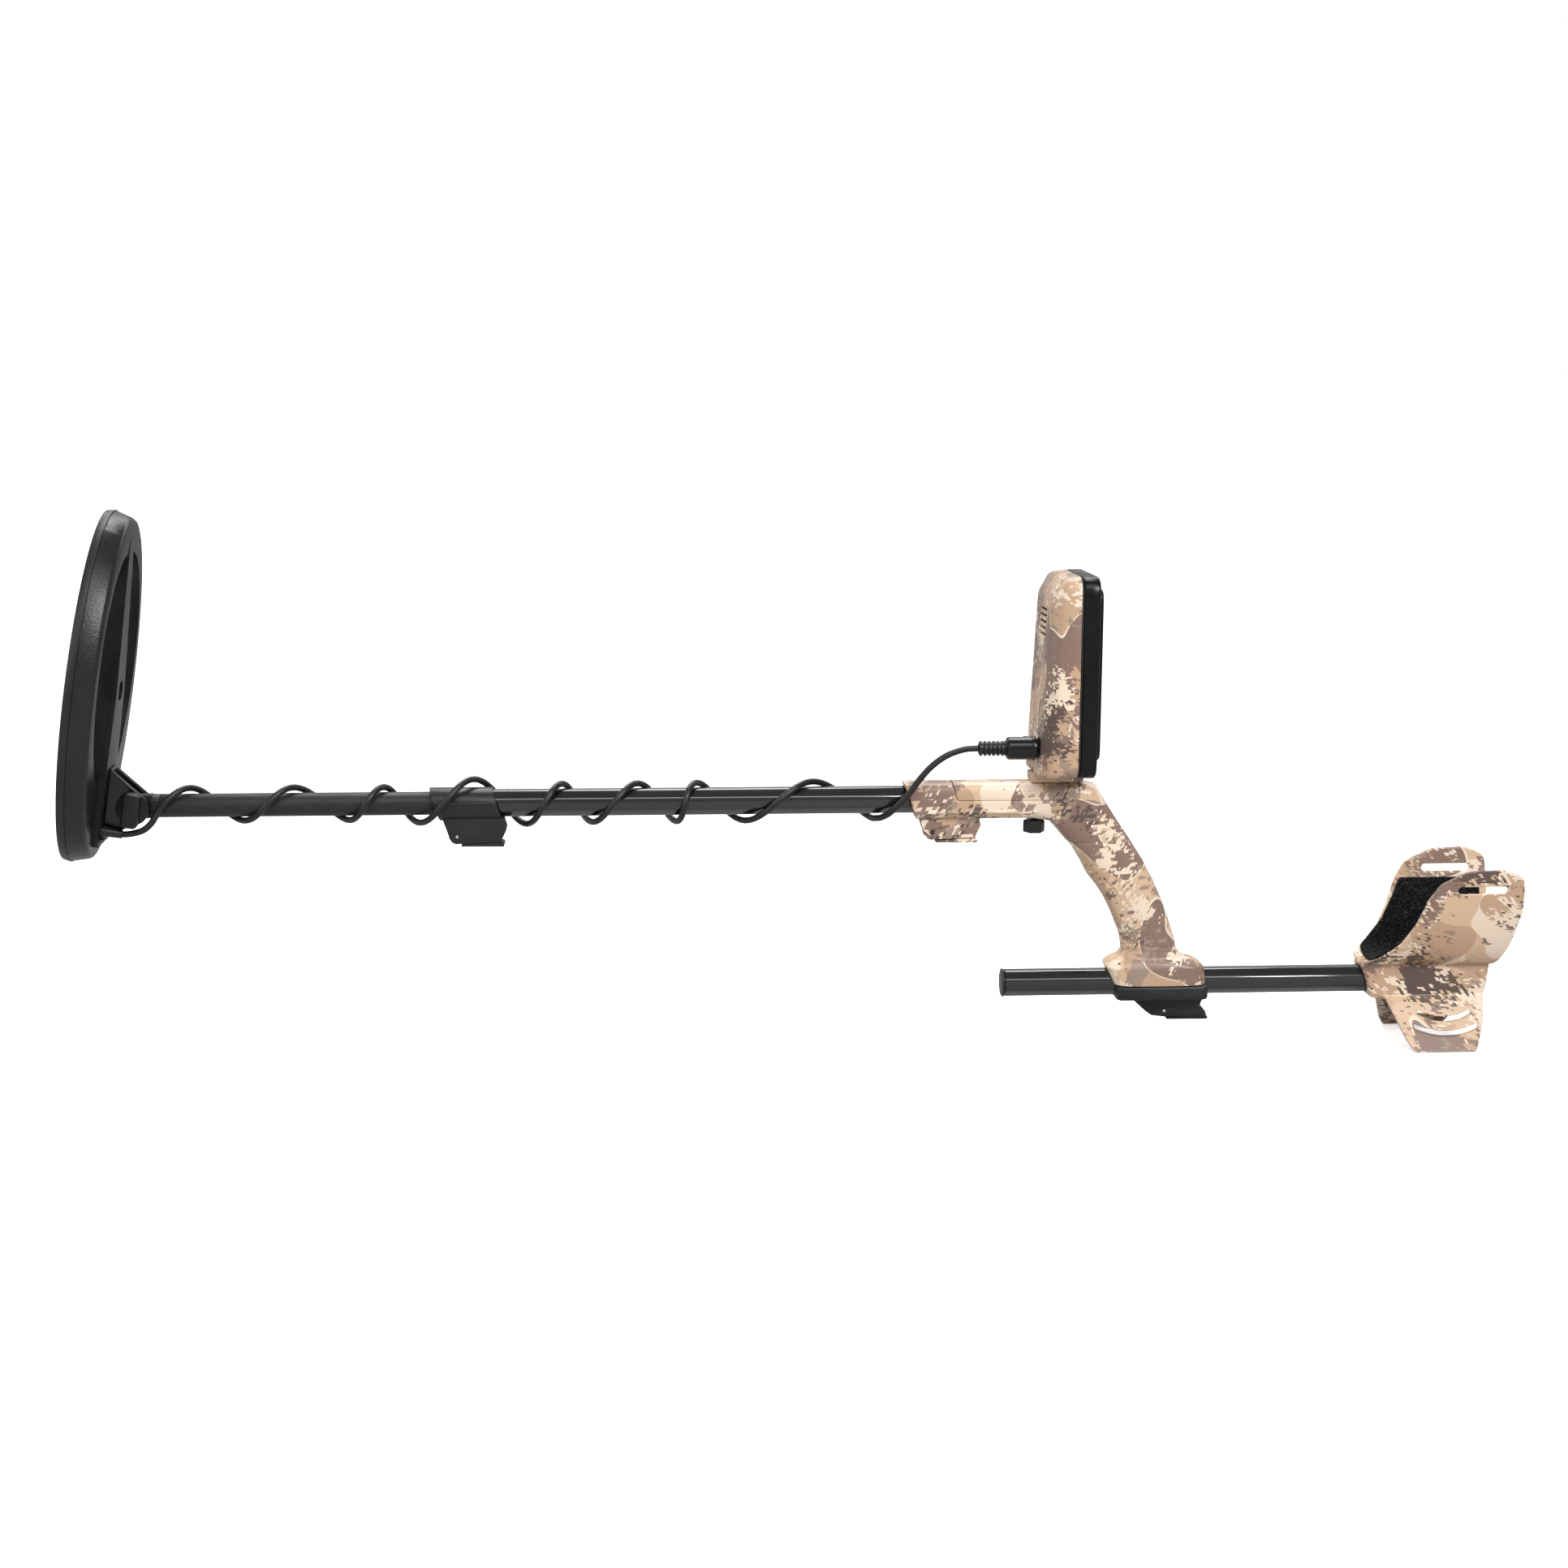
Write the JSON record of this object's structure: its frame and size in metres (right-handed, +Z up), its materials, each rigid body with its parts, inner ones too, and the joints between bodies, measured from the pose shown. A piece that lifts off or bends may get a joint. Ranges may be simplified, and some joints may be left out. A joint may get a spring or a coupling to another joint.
{
  "type": "metal detector",
  "caption": "Telescoping metal detector with a tilting elliptical search coil, a wrapped coil cable, a rear-facing display, a curved pistol grip and a sliding armrest.",
  "frame": {"origin": "middle of the bounding box on the plane of the armrest's soles", "axes": "+X along the shaft from the coil to the user's elbow, +Z up, -Y on the side of the coil's knob"},
  "size_m": [1.1745, 0.18, 0.4415],
  "materials": {
    "coil_black": "moulded plastic with a fine grain",
    "cover_black": "satin moulded plastic",
    "yoke_black": "gloss moulded plastic",
    "knob_black": "satin moulded plastic",
    "lock_black": "satin moulded plastic",
    "shaft_grey": "matte fibre-filled plastic",
    "tube_gloss": "gloss black coat",
    "camouflage": "desert camouflage film, satin lacquer",
    "bezel_black": "satin black",
    "window_clear": "clear window",
    "lcd_grey": "unlit display",
    "key_grey": "soft keys",
    "board_green": "circuit board",
    "battery_blue": "wrapped cells",
    "speaker_grey": "painted frame",
    "copper": "varnished copper wire",
    "zinc": "bright plated steel",
    "washer_rubber": "rubber",
    "cable_rubber": "satin cable jacket",
    "plug_black": "gloss moulded plastic",
    "pad_black": "looped fabric over foam"
  },
  "bodies": {
    "handle": {"handle_shell_left": "camouflage", "handle_shell_right": "camouflage", "stem_top_cover": "camouflage", "stem_bushing": "lock_black", "upper_lock_pin": "zinc", "upper_lock_pad": "washer_rubber", "base_clamp_lower": "lock_black", "base_lock_pin": "zinc", "base_lock_pad": "washer_rubber", "display_foot": "camouflage", "display_rear_case": "camouflage", "display_gasket": "washer_rubber", "display_bezel": "bezel_black", "lcd_window": "window_clear", "lcd_panel": "lcd_grey", "keypad_panel": "bezel_black", "circuit_board": "board_green", "battery_pack": "battery_blue", "speaker": "speaker_grey", "coil_socket": "lock_black", "aux_socket_cap": "cable_rubber", "coil_cable_upper": "cable_rubber", "cable_boot": "cable_rubber", "cable_plug": "plug_black"},
    "coil": {"coil_cover": "cover_black", "coil_lower_shell": "coil_black", "coil_upper_shell": "coil_black", "coil_yoke": "yoke_black", "transmit_winding": "copper", "receive_winding": "copper", "cable_gland": "cable_rubber", "coil_bolt": "zinc", "friction_washer_left": "washer_rubber", "friction_washer_right": "washer_rubber", "coil_cable_front": "cable_rubber"},
    "coil_knob": {"coil_knob": "knob_black"},
    "lower_shaft": {"lower_shaft_tube": "shaft_grey", "lower_shaft_tip": "shaft_grey", "coil_cable_lower": "cable_rubber"},
    "middle_shaft": {"middle_shaft_tube": "tube_gloss", "lower_lock_sleeve": "lock_black", "lower_lock_pin": "zinc", "lower_lock_pad": "washer_rubber", "coil_cable_middle": "cable_rubber"},
    "lower_lock_lever": {"lower_lock_lever": "lock_black"},
    "upper_lock_lever": {"upper_lock_lever": "camouflage"},
    "base_lock_lever": {"base_lock_lever": "lock_black"},
    "thumb_screw": {"thumb_screw": "knob_black"},
    "arm": {"arm_tube": "tube_gloss", "arm_tube_cap": "lock_black", "armrest_cuff": "camouflage", "armrest_pad": "pad_black", "armrest_bolt": "zinc"},
    "power_button": {"power_button": "key_grey"},
    "up_button": {"up_button": "key_grey"},
    "left_button": {"left_button": "key_grey"},
    "right_button": {"right_button": "key_grey"},
    "mode_button": {"mode_button": "key_grey"},
    "pinpoint_button": {"pinpoint_button": "key_grey"}
  },
  "joints": [
    {"name": "middle_shaft_slide", "type": "slide", "parent": "handle", "child": "middle_shaft", "axis": [1, 0, 0], "range_m": [0, 0.06], "deforming": ["coil_cable_upper", "coil_cable_middle"]},
    {"name": "lower_shaft_slide", "type": "slide", "parent": "middle_shaft", "child": "lower_shaft", "axis": [1, 0, 0], "range_m": [0, 0.12], "deforming": ["coil_cable_lower"]},
    {"name": "coil_tilt", "type": "hinge", "parent": "lower_shaft", "child": "coil", "pos_m": [-0.53215, 0, 0.2068], "axis": [0, 1, 0], "range_deg": [-95, 78], "deforming": ["coil_cable_front"]},
    {"name": "coil_knob_turn", "type": "hinge", "parent": "coil", "child": "coil_knob", "pos_m": [-0.53215, -0.02, 0.2068], "axis": [0, 1, 0], "continuous": true},
    {"name": "lower_lock_lever_turn", "type": "hinge", "parent": "middle_shaft", "child": "lower_lock_lever", "pos_m": [-0.27815, 0, 0.1806], "axis": [0, 1, 0], "range_deg": [0, 95]},
    {"name": "upper_lock_lever_turn", "type": "hinge", "parent": "handle", "child": "upper_lock_lever", "pos_m": [0.10535, 0, 0.1803], "axis": [0, 1, 0], "range_deg": [0, 95]},
    {"name": "base_lock_lever_turn", "type": "hinge", "parent": "handle", "child": "base_lock_lever", "pos_m": [0.30085, 0, 0.0283], "axis": [0, 1, 0], "range_deg": [0, 95]},
    {"name": "thumb_screw_turn", "type": "hinge", "parent": "handle", "child": "thumb_screw", "pos_m": [0.18985, 0, 0.2068], "axis": [0, 0, 1], "continuous": true},
    {"name": "arm_tube_slide", "type": "slide", "parent": "handle", "child": "arm", "axis": [1, 0, 0], "range_m": [-0.05, 0.07]},
    {"name": "power_button_press", "type": "slide", "parent": "handle", "child": "power_button", "axis": [-1, 0, 0], "range_m": [0, 0.001], "stiffness_N_per_m": 200},
    {"name": "up_button_press", "type": "slide", "parent": "handle", "child": "up_button", "axis": [-1, 0, 0], "range_m": [0, 0.001], "stiffness_N_per_m": 200},
    {"name": "left_button_press", "type": "slide", "parent": "handle", "child": "left_button", "axis": [-1, 0, 0], "range_m": [0, 0.001], "stiffness_N_per_m": 200},
    {"name": "right_button_press", "type": "slide", "parent": "handle", "child": "right_button", "axis": [-1, 0, 0], "range_m": [0, 0.001], "stiffness_N_per_m": 200},
    {"name": "mode_button_press", "type": "slide", "parent": "handle", "child": "mode_button", "axis": [-1, 0, 0], "range_m": [0, 0.001], "stiffness_N_per_m": 200},
    {"name": "pinpoint_button_press", "type": "slide", "parent": "handle", "child": "pinpoint_button", "axis": [-1, 0, 0], "range_m": [0, 0.001], "stiffness_N_per_m": 200}
  ]
}
